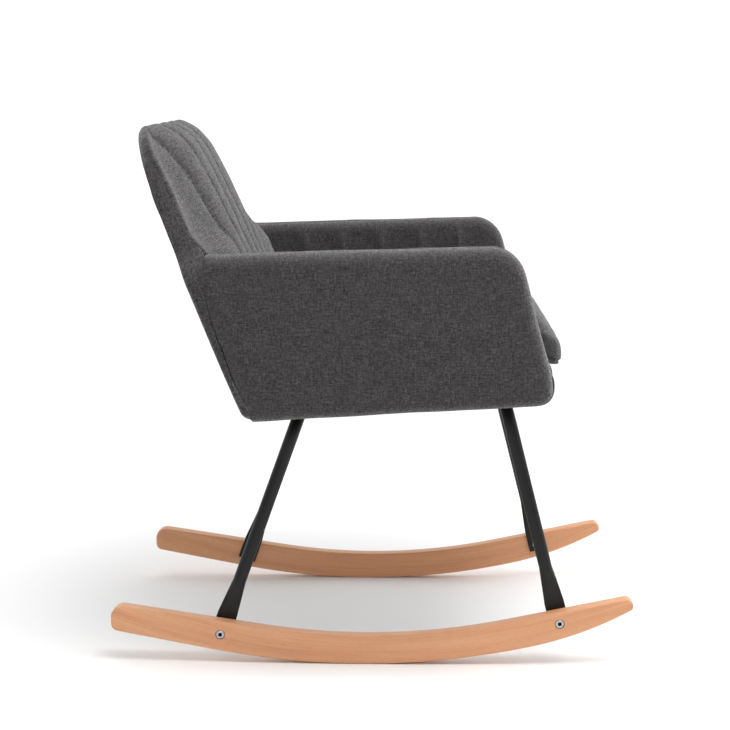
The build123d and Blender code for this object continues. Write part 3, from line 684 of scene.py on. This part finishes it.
def cushion_blank():
    """The cushion's cut shape, a little smaller than its finished one, as an even mesh."""
    source = NODES["seat_cushion"].data.copy()
    piece = bpy.data.objects.new("seat_cushion_cover", source)
    bpy.context.scene.collection.objects.link(piece)
    remesh = piece.modifiers.new("remesh", "REMESH")
    remesh.mode = "VOXEL"
    remesh.voxel_size = CUSHION_VOXEL
    apply_modifiers(piece)
    smoother = piece.modifiers.new("ease", "SMOOTH")
    smoother.iterations = 4
    apply_modifiers(piece)
    push(piece, -0.002)
    return piece


def inflate(piece):
    """Swells the cushion by cloth simulation, and returns each point's move, less the mean move."""
    rest = points_of(piece.data)
    cloth = piece.modifiers.new("stuffing", "CLOTH")
    settings = cloth.settings
    settings.use_pressure = True
    settings.uniform_pressure_force = 4.0
    settings.effector_weights.gravity = 0.0
    settings.quality = 6
    settings.tension_stiffness = 12
    settings.bending_stiffness = 0.6
    scene = bpy.context.scene
    for number in range(1, CLOTH_FRAMES + 1):
        scene.frame_set(number)
    graph = bpy.context.evaluated_depsgraph_get()
    done = bpy.data.meshes.new_from_object(piece.evaluated_get(graph))
    piece.modifiers.clear()
    scene.frame_set(1)
    moved = points_of(done) - rest
    return moved - moved.mean(0)


def seat_coordinates(points):
    """(x, y, height) on the tilted seat of world points."""
    y = points[:, 1]
    z = points[:, 2] - SEAT_Z
    along = y * math.cos(SEAT_TILT) - z * math.sin(SEAT_TILT)
    height = y * math.sin(SEAT_TILT) + z * math.cos(SEAT_TILT)
    return points[:, 0], along, height


def seat_cushion():
    """Loose cushion, stuffed by simulation and then given its seams."""
    piece = cushion_blank()
    stuff(piece)
    subdivide = piece.modifiers.new("fine", "SUBSURF")
    subdivide.levels = 1
    subdivide.render_levels = 1
    apply_modifiers(piece)
    finish_cushion(piece)
    return piece


def stuff(piece):
    """Swells the cushion as its simulation does, within a limit: most on top, least underneath."""
    normals = normals_of(piece.data)
    rest = points_of(piece.data)
    outward = (inflate(piece) * normals).sum(1, keepdims=True)
    up = np.clip(normals @ (0, math.sin(SEAT_TILT), math.cos(SEAT_TILT)), -1, 1)
    limit = np.where(up < -0.3, 0.0005, 0.0032 + 0.009 * smooth(up))
    set_points(piece.data, rest + normals * np.clip(outward, -0.001, limit[:, None]))


def finish_cushion(piece):
    """Boxing seam, rounded front and cloth coordinates, after the stuffing."""
    normals = normals_of(piece.data)
    _, _, height = seat_coordinates(points_of(piece.data))
    low = height.min()
    side = smooth((0.75 - np.abs(normals[:, 2])) / 0.4)
    groove = np.exp(-((height - low - 0.008) / 0.0028) ** 2)
    push(piece, -0.0028 * groove * side)
    round_front(piece, normals, low)
    x, y, height = seat_coordinates(points_of(piece.data))
    down = height.max() - height
    weave_u = x + np.sign(x) * down * smooth((np.abs(normals[:, 0]) - 0.2) / 0.5)
    weave_v = y - down * smooth((-normals[:, 1] - 0.1) / 0.5)
    set_weave(piece.data, np.stack([weave_u, weave_v], -1))
    push(piece, ripples(piece, 0.05, 0.0012, 14))
    piece.data.shade_smooth()
    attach(piece, "cushion")


def round_front(piece, normals, low):
    """Lets the cushion's front lip droop and its face swell forwards."""
    at = points_of(piece.data)
    _, y, height = seat_coordinates(at)
    high = np.clip((height - low) / (height.max() - low), 0, 1)
    behind = np.clip(y - CUSHION_FRONT, 0, 1)
    at[:, 2] -= 0.010 * (1 - smooth(behind / 0.034))
    at[:, 2] -= high * fillet_drop(behind, 0.036, 0.026)
    bulge = 0.0045 * smooth((-normals[:, 1] - 0.2) / 0.5) * (1 - (2 * high - 0.9) ** 2)
    at[:, 1] -= np.maximum(bulge, 0)
    set_points(piece.data, at)


def plate_openings():
    """(x low, x high, y low, y high) of the opening round each mounting plate, on the seat."""
    openings = []
    for name in NODES:
        if name.startswith("mounting_plate"):
            low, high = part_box(name)
            middle = (low + high) / 2
            y = seat_coordinates(np.array([middle]))[1][0]
            openings.append((middle.x - OPENING_X, middle.x + OPENING_X, y - OPENING_Y, y + OPENING_Y))
    return openings


def outside(opening, x, y):
    """Distance from points to an opening, 0 inside it."""
    aside = np.maximum(np.maximum(opening[0] - x, x - opening[1]), 0)
    along = np.maximum(np.maximum(opening[2] - y, y - opening[3]), 0)
    return np.hypot(aside, along)


def open_faces(xs, ys, openings):
    """Faces of a grid, without those inside an opening."""
    faces = []
    for number, face in enumerate(sheet_faces(len(ys), len(xs))):
        i, j = divmod(number, len(xs) - 1)
        middle_x = (xs[j] + xs[j + 1]) / 2
        middle_y = (ys[i] + ys[i + 1]) / 2
        if all(outside(opening, middle_x, middle_y) > 0 for opening in openings):
            faces.append(face)
    return faces


def dust_cloth(half):
    """Thin cloth stapled under the seat, open round the four mounting plates."""
    openings = plate_openings()
    x_lines = {-half, half}
    y_lines = {DUST_FRONT, DUST_REAR}
    for opening in openings:
        x_lines.update(round(v, 5) for v in opening[:2])
        y_lines.update(round(v, 5) for v in opening[2:])
    xs = filled(x_lines, 0.009)
    ys = filled(y_lines, 0.009)
    x, y = np.meshgrid(xs, ys)
    to_hem = np.minimum(half - np.abs(x), np.minimum(y - DUST_FRONT, DUST_REAR - y))
    to_opening = np.min([outside(opening, x, y) for opening in openings], axis=0)
    slack = smooth(np.minimum(to_hem, to_opening) / 0.08)
    height = -0.0010 - 0.0035 * slack + 0.0008 * slack * np.sin(x * 60 + y * 35)
    points = seat_points(x, y, height).reshape(-1, 3)
    cloth = np.stack([x, y], -1).reshape(-1, 2)
    piece = new_piece("dust_cloth", points, open_faces(xs, ys, openings), cloth)
    drop_loose_points(piece.data)
    thick = piece.modifiers.new("thickness", "SOLIDIFY")
    thick.thickness = 0.0007
    thick.offset = 0
    apply_modifiers(piece)
    return piece


def drop_loose_points(mesh):
    bm = bmesh.new()
    bm.from_mesh(mesh)
    bmesh.ops.delete(bm, geom=[v for v in bm.verts if not v.link_faces], context="VERTS")
    bm.to_mesh(mesh)
    bm.free()


def filled(values, step):
    """Sorted values with even steps between them."""
    values = sorted(values)
    out = []
    for low, high in zip(values[:-1], values[1:]):
        count = max(1, round((high - low) / step))
        out += [low + (high - low) * i / count for i in range(count)]
    return np.array(out + [values[-1]])


def staple_spots(half):
    """(x, y, turn in degrees) of each staple along the cloth's four hems."""
    inset = 0.006
    across = np.linspace(-half + 0.03, half - 0.03, 9)
    along = np.linspace(DUST_FRONT + 0.04, DUST_REAR - 0.04, 6)
    spots = [(x, y, 0) for y in (DUST_FRONT + inset, DUST_REAR - inset) for x in across]
    return spots + [(side * (half - inset), y, 90) for side in (-1, 1) for y in along]


def staples(half):
    """Wire staples that hold the dust cloth's hems, each a little askew."""
    data = bpy.data.curves.new("dust_cloth_staples", "CURVE")
    data.dimensions = "3D"
    data.bevel_depth = 0.0005
    data.bevel_resolution = 2
    wire = ((-0.005, 0.002), (-0.005, -0.0021), (0.005, -0.0021), (0.005, 0.002))
    for x, y, turn in staple_spots(half):
        angle = math.radians(turn + 8)
        line = data.splines.new("POLY")
        line.points.add(len(wire) - 1)
        for point, (along, height) in zip(line.points, wire):
            place = seat_points(x + along * math.cos(angle), y + along * math.sin(angle), height)
            point.co = (*place, 1)
    wires = bpy.data.objects.new("wires", data)
    bpy.context.scene.collection.objects.link(wires)
    mesh = evaluated_mesh(wires)
    bpy.data.objects.remove(wires)
    piece = bpy.data.objects.new("dust_cloth_staples", mesh)
    bpy.context.scene.collection.objects.link(piece)
    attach(piece, "chair")
    return piece


# ---------------------------- materials
class Nodes:
    """Small helper that adds nodes to a material and links them."""

    def __init__(self, name):
        self.material = bpy.data.materials.new(name)
        self.material.use_nodes = True
        self.tree = self.material.node_tree
        self.shader = self.tree.nodes["Principled BSDF"]

    def add(self, kind, inputs=None, **settings):
        node = self.tree.nodes.new("ShaderNode" + kind)
        for key, value in settings.items():
            setattr(node, key, value)
        for key, value in (inputs or {}).items():
            if isinstance(value, bpy.types.NodeSocket):
                self.tree.links.new(value, node.inputs[key])
            else:
                node.inputs[key].default_value = value
        return node

    def math(self, operation, a, b=0.0):
        return self.add("Math", {0: a, 1: b}, operation=operation).outputs[0]

    def total(self, *terms):
        """Sum of (value, factor) terms."""
        products = [self.math("MULTIPLY", value, factor) for value, factor in terms]
        result = products[0]
        for product in products[1:]:
            result = self.math("ADD", result, product)
        return result

    def level(self, base, value, factor):
        """base + factor times value."""
        return self.math("ADD", self.math("MULTIPLY", value, factor), base)

    def scaled(self, vector, factors):
        return self.add("VectorMath", {0: vector, 1: factors}, operation="MULTIPLY").outputs[0]

    def noise(self, vector, scale=1.0, detail=2.0, roughness=0.5):
        inputs = {"Vector": vector, "Scale": scale, "Detail": detail, "Roughness": roughness}
        return self.add("TexNoise", inputs).outputs[0]

    def ramp(self, factor, stops):
        node = self.add("ValToRGB", {0: factor})
        elements = node.color_ramp.elements
        while len(elements) < len(stops):
            elements.new(0.5)
        for element, (place, colour) in zip(elements, stops):
            element.position = place
            element.color = (*colour, 1)
        return node.outputs[0]

    def blend(self, factor, a, b):
        """Colour a, with factor of colour b in it."""
        node = self.add("Mix", data_type="RGBA")
        for socket, value in ((node.inputs[0], factor), (node.inputs[6], a), (node.inputs[7], b)):
            if isinstance(value, bpy.types.NodeSocket):
                self.tree.links.new(value, socket)
            else:
                socket.default_value = value if isinstance(value, float) else (*value, 1)
        return node.outputs[2]

    def bump(self, height, distance, strength=1.0):
        inputs = {"Height": height, "Distance": distance, "Strength": strength}
        return self.add("Bump", inputs).outputs[0]

    def surface(self, **values):
        for key, value in values.items():
            socket = self.shader.inputs[key.replace("_", " ")]
            if isinstance(value, bpy.types.NodeSocket):
                self.tree.links.new(value, socket)
            else:
                socket.default_value = value
        return self.material


def linen():
    """Dark grey melange weave: slubby warp and weft threads of several greys."""
    n = Nodes("linen_weave")
    cloth = n.add("Attribute", attribute_name="weave").outputs["Vector"]
    warp = n.noise(n.scaled(cloth, (860, 110, 1)), detail=2.5, roughness=0.6)
    weft = n.noise(n.scaled(cloth, (110, 860, 1)), detail=2.5, roughness=0.6)
    slub = n.noise(n.scaled(cloth, (420, 42, 1)), detail=1.5)
    slub_weft = n.noise(n.scaled(cloth, (42, 420, 1)), detail=1.5)
    patch = n.noise(n.scaled(cloth, (38, 38, 1)), detail=2.0)
    speckle = n.noise(n.scaled(cloth, (310, 310, 1)), detail=3.0, roughness=0.75)
    fuzz = n.noise(n.scaled(cloth, (2600, 2600, 1)), detail=1.0)
    parts = n.add("SeparateXYZ", {0: cloth})
    turns = 2 * math.pi / 0.0013
    over = n.math("SINE", n.math("MULTIPLY", parts.outputs[0], turns))
    under = n.math("SINE", n.math("MULTIPLY", parts.outputs[1], turns))
    basket = n.math("MULTIPLY", over, under)
    threads = n.total((warp, 0.5), (weft, 0.5))
    slubs = n.total((slub, 0.5), (slub_weft, 0.5))
    uneven = n.total((n.math("SUBTRACT", patch, 0.5), 0.05), (n.math("SUBTRACT", speckle, 0.5), 0.55))
    tone = n.math("ADD", n.total((threads, 0.68), (slubs, 0.32)), uneven)
    dark = (0.0195, 0.0180, 0.0188)
    middle = (0.045, 0.0422, 0.0436)
    light = (0.093, 0.088, 0.0905)
    colour = n.ramp(tone, [(0.34, dark), (0.50, middle), (0.66, light)])
    height = n.total((threads, 1.6), (basket, 0.35), (fuzz, 0.5))
    nap = n.math("MULTIPLY", n.math("SUBTRACT", tone, 0.34), 2.1)
    return n.surface(Base_Color=colour, Roughness=n.level(0.80, threads, 0.2), Sheen_Weight=nap,
                     Sheen_Roughness=0.5, Specular_IOR_Level=0.18, Normal=n.bump(height, 0.0004, 0.7))


def beech():
    """Steamed beech: warm even ground, fine grain along the bend and short dark flecks."""
    n = Nodes("beech_oiled")
    at = n.add("TexCoord").outputs["Object"]
    parts = n.add("SeparateXYZ", {0: at})
    bend = n.math("MULTIPLY", n.math("POWER", n.math("ABSOLUTE", parts.outputs[1]), 2.0), 0.5)
    flat_z = n.math("SUBTRACT", parts.outputs[2], bend)
    along = n.add("CombineXYZ", {0: parts.outputs[0], 1: parts.outputs[1], 2: flat_z}).outputs[0]
    broad = n.noise(n.scaled(along, (26, 3.2, 60)), detail=3.0, roughness=0.55)
    fine = n.noise(n.scaled(along, (300, 9, 520)), detail=3.0, roughness=0.6)
    fleck = n.noise(n.scaled(along, (900, 150, 1500)), detail=1.0)
    flecks = n.math("GREATER_THAN", fleck, 0.66)
    cloud = n.noise(n.scaled(along, (9, 5, 9)), detail=2.0)
    tone = n.total((broad, 0.55), (fine, 0.45))
    dark = (0.49, 0.216, 0.101)
    middle = (0.665, 0.322, 0.161)
    light = (0.77, 0.432, 0.245)
    ground = n.ramp(tone, [(0.30, dark), (0.50, middle), (0.70, light)])
    tint = n.blend(n.math("MULTIPLY", cloud, 0.55), ground, (0.685, 0.314, 0.147))
    colour = n.blend(n.math("MULTIPLY", flecks, 0.38), tint, (0.42, 0.175, 0.07))
    height = n.total((fine, 1.0), (flecks, -0.7))
    return n.surface(Base_Color=colour, Roughness=n.level(0.38, fine, 0.16), Coat_Weight=0.12,
                     Coat_Roughness=0.35, Normal=n.bump(height, 0.00012, 0.6))


def plywood():
    """Birch plywood: pale, with long fine grain."""
    n = Nodes("birch_plywood")
    at = n.add("TexCoord").outputs["Object"]
    grain = n.noise(n.scaled(at, (320, 14, 320)), detail=3.0)
    cloud = n.noise(n.scaled(at, (8, 3, 8)), detail=2.0)
    tone = n.total((grain, 0.6), (cloud, 0.4))
    dark = (0.42, 0.27, 0.15)
    middle = (0.62, 0.45, 0.28)
    light = (0.72, 0.56, 0.38)
    colour = n.ramp(tone, [(0.3, dark), (0.55, middle), (0.75, light)])
    return n.surface(Base_Color=colour, Roughness=n.level(0.55, grain, 0.2),
                     Normal=n.bump(grain, 0.0002, 0.6))


def black_steel():
    """Satin black powder coat with a fine orange peel and rubbed high spots."""
    n = Nodes("black_powder_coat")
    at = n.add("TexCoord").outputs["Object"]
    peel = n.noise(n.scaled(at, (900, 900, 900)), detail=1.5)
    wide = n.noise(n.scaled(at, (28, 28, 28)), detail=3.0)
    colour = n.ramp(wide, [(0.35, (0.0040, 0.0040, 0.0043)), (0.7, (0.0085, 0.0085, 0.009))])
    return n.surface(Base_Color=colour, Roughness=n.level(0.34, wide, 0.2), Specular_IOR_Level=0.30,
                     Normal=n.bump(peel, 0.00008, 0.5))


def zinc_steel():
    """Bright zinc plate with turning marks and faint clouding."""
    n = Nodes("zinc_plate")
    at = n.add("TexCoord").outputs["Object"]
    cloud = n.noise(n.scaled(at, (420, 420, 420)), detail=3.0)
    streak = n.noise(n.scaled(at, (150, 2600, 2600)), detail=1.0)
    colour = n.ramp(cloud, [(0.3, (0.48, 0.48, 0.49)), (0.7, (0.70, 0.70, 0.69))])
    return n.surface(Base_Color=colour, Metallic=1.0, Roughness=n.level(0.20, cloud, 0.22),
                     Normal=n.bump(streak, 0.00003, 0.5))


def socket_steel():
    """Zinc bolt whose hexagon socket is painted near black, as painted shade in the recess."""
    n = Nodes("zinc_socket_bolt")
    at = n.add("TexCoord").outputs["Object"]
    parts = n.add("SeparateXYZ", {0: at})
    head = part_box("rocker_bolts")[1].x
    # painted shade: points more than 1.2 mm in from the head's face, inside the socket, get a near-black
    # colour
    inside = n.math("LESS_THAN", n.math("ABSOLUTE", parts.outputs[0]), head - 0.0012)
    cloud = n.noise(n.scaled(at, (420, 420, 420)), detail=3.0)
    plate = n.ramp(cloud, [(0.3, (0.34, 0.34, 0.35)), (0.7, (0.56, 0.56, 0.55))])
    colour = n.blend(inside, plate, (0.012, 0.012, 0.012))
    return n.surface(Base_Color=colour, Metallic=0.9, Roughness=n.level(0.25, cloud, 0.2),
                     Normal=n.bump(cloud, 0.00003, 0.5))


def webbing():
    """Black elastic webbing: ribs across, and a fine knit between them."""
    n = Nodes("elastic_webbing")
    at = n.add("TexCoord").outputs["Object"]
    parts = n.add("SeparateXYZ", {0: at})
    ribs = n.math("SINE", n.math("MULTIPLY", parts.outputs[1], 2 * math.pi / 0.0025))
    cross = n.math("SINE", n.math("MULTIPLY", parts.outputs[0], 2 * math.pi / 0.0016))
    knit = n.total((ribs, 0.6), (cross, 0.4))
    mottle = n.noise(n.scaled(at, (500, 500, 500)), detail=2.0)
    tone = n.math("ADD", n.math("MULTIPLY", knit, 0.15), mottle)
    colour = n.ramp(tone, [(0.3, (0.02, 0.02, 0.022)), (0.7, (0.11, 0.105, 0.10))])
    return n.surface(Base_Color=colour, Roughness=0.8, Normal=n.bump(knit, 0.0005, 0.7))


def dust_fabric():
    """Black spun-bonded cloth with its pattern of pressed points."""
    n = Nodes("spunbond_black")
    at = n.add("Attribute", attribute_name="weave").outputs["Vector"]
    cells = n.add("TexVoronoi", {"Vector": at, "Scale": 650.0, "Randomness": 0.15})
    press = n.math("LESS_THAN", cells.outputs["Distance"], 0.32)
    fibre = n.noise(n.scaled(at, (900, 900, 1)), detail=3.0)
    tone = n.math("SUBTRACT", fibre, n.math("MULTIPLY", press, 0.18))
    colour = n.ramp(tone, [(0.25, (0.008, 0.008, 0.009)), (0.7, (0.032, 0.032, 0.034))])
    height = n.math("SUBTRACT", fibre, press)
    return n.surface(Base_Color=colour, Roughness=0.78, Normal=n.bump(height, 0.0002, 0.6))


def studio_floor():
    """Pale, plain and nearly even."""
    n = Nodes("studio_floor")
    at = n.add("TexCoord").outputs["Object"]
    cloud = n.noise(n.scaled(at, (0.7, 0.7, 0.7)), detail=2.0)
    colour = n.ramp(cloud, [(0.2, (0.93, 0.93, 0.93)), (0.8, (0.96, 0.96, 0.96))])
    return n.surface(Base_Color=colour, Roughness=0.85)


# ---------------------------- putting it together
def finish_piece(piece, material, nodes=()):
    """Gives a piece its material and slot, and hides the CAD nodes it stands for."""
    piece.data.materials.clear()
    piece.data.materials.append(material)
    if nodes:
        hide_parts(*nodes)


def finish_of(name):
    """Which finish a CAD node has."""
    if name in ("rocker_left", "rocker_right"):
        return "beech"
    if name == "rocker_bolts":
        return "socket"
    if name.endswith("_leg_frame") or name.startswith("mounting_plate"):
        return "steel"
    if name.endswith(("_bolts", "_washers", "_nuts")):
        return "zinc"
    return "webbing" if "_web_" in name else "plywood"


def dress_cad_nodes(materials):
    """Gives every carried-over CAD node its finish."""
    for name, node in NODES.items():
        node.data.materials.clear()
        node.data.materials.append(materials[finish_of(name)])


def camera():
    """Camera on the -X side, without roll, looking a little down."""
    data = bpy.data.cameras.new("camera")
    data.sensor_width = 36.0
    data.lens = CAMERA_LENS
    eye = bpy.data.objects.new("camera", data)
    eye.location = CAMERA_PLACE
    level = math.cos(CAMERA_PITCH)
    ahead = Vector((math.cos(CAMERA_YAW) * level, math.sin(CAMERA_YAW) * level, -math.sin(CAMERA_PITCH)))
    eye.rotation_mode = "QUATERNION"
    eye.rotation_quaternion = ahead.to_track_quat("-Z", "Y")
    bpy.context.scene.collection.objects.link(eye)
    bpy.context.scene.camera = eye


def lamp(name, place, target, size, power):
    """Round soft light."""
    data = bpy.data.lights.new(name, "AREA")
    data.shape = "DISK"
    data.size = size
    data.energy = power
    light = bpy.data.objects.new(name, data)
    light.location = place
    light.rotation_mode = "QUATERNION"
    light.rotation_quaternion = (Vector(target) - Vector(place)).to_track_quat("-Z", "Y")
    bpy.context.scene.collection.objects.link(light)


def studio_world():
    """Bright white room behind the chair, dimmer towards the camera's side."""
    world = bpy.data.worlds.new("studio")
    world.use_nodes = True
    tree = world.node_tree
    place = tree.nodes.new("ShaderNodeTexCoord")
    parts = tree.nodes.new("ShaderNodeSeparateXYZ")
    level = tree.nodes.new("ShaderNodeMapRange")
    for socket, value in zip(("From Min", "From Max", "To Min", "To Max"), (-0.5, 0.7, 0.52, 1.10)):
        level.inputs[socket].default_value = value
    tree.links.new(place.outputs["Generated"], parts.inputs[0])
    tree.links.new(parts.outputs[0], level.inputs["Value"])
    tree.links.new(level.outputs[0], tree.nodes["Background"].inputs["Strength"])
    tree.nodes["Background"].inputs["Color"].default_value = (1, 1, 1, 1)
    bpy.context.scene.world = world


def studio():
    """Round pale floor, three soft lamps and a bright room."""
    radius = 1.5
    sides = 96
    turns = [2 * math.pi * i / sides for i in range(sides)]
    rim = [(radius * math.cos(turn), radius * math.sin(turn), 0) for turn in turns]
    mesh = bpy.data.meshes.new("floor")
    mesh.from_pydata(rim, [], [tuple(range(sides))])
    mesh.materials.append(studio_floor())
    floor = bpy.data.objects.new("floor", mesh)
    bpy.context.scene.collection.objects.link(floor)
    studio_world()
    middle = (0, 0, 0.45)
    far_arm = (0.26, -0.05, 0.52)
    lamp("key", (-0.4, -1.8, 2.6), middle, 2.4, 30)
    lamp("top", (0.2, 0.2, 2.9), middle, 3.0, 24)
    lamp("inner", (-0.75, -0.35, 2.2), far_arm, 1.2, 24)
    bpy.context.scene.view_settings.view_transform = "Standard"


def build_arms(cloth):
    """Both arms: the right one is made, and the left one is its mirror image."""
    outer = arm_outer_cover()
    lining = arm_lining()
    for side in ("right", "left"):
        shell = outer if side == "right" else mirrored(outer, "arm_outer_cover_left")
        inner = lining if side == "right" else mirrored(lining, "arm_lining_left")
        finish_piece(shell, cloth, [f"arm_outer_pad_{side}"])
        finish_piece(inner, cloth, [f"arm_inner_pad_{side}"])


def build():
    zinc = zinc_steel()
    dress_cad_nodes({
        "beech": beech(),
        "zinc": zinc,
        "socket": socket_steel(),
        "steel": black_steel(),
        "plywood": plywood(),
        "webbing": webbing(),
    })
    cloth = linen()
    finish_piece(back_front_cover(), cloth, ["back_front_pad"])
    finish_piece(rear_cover(), cloth, ["back_rear_pad"])
    build_arms(cloth)
    finish_piece(front_roll(), cloth, ["front_rail_pad"])
    finish_piece(seat_cushion(), cloth, ["seat_cushion"])
    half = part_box("dust_cover")[1].x
    finish_piece(dust_cloth(half), dust_fabric(), ["dust_cover"])
    finish_piece(staples(half), zinc)


build()
camera()
studio()
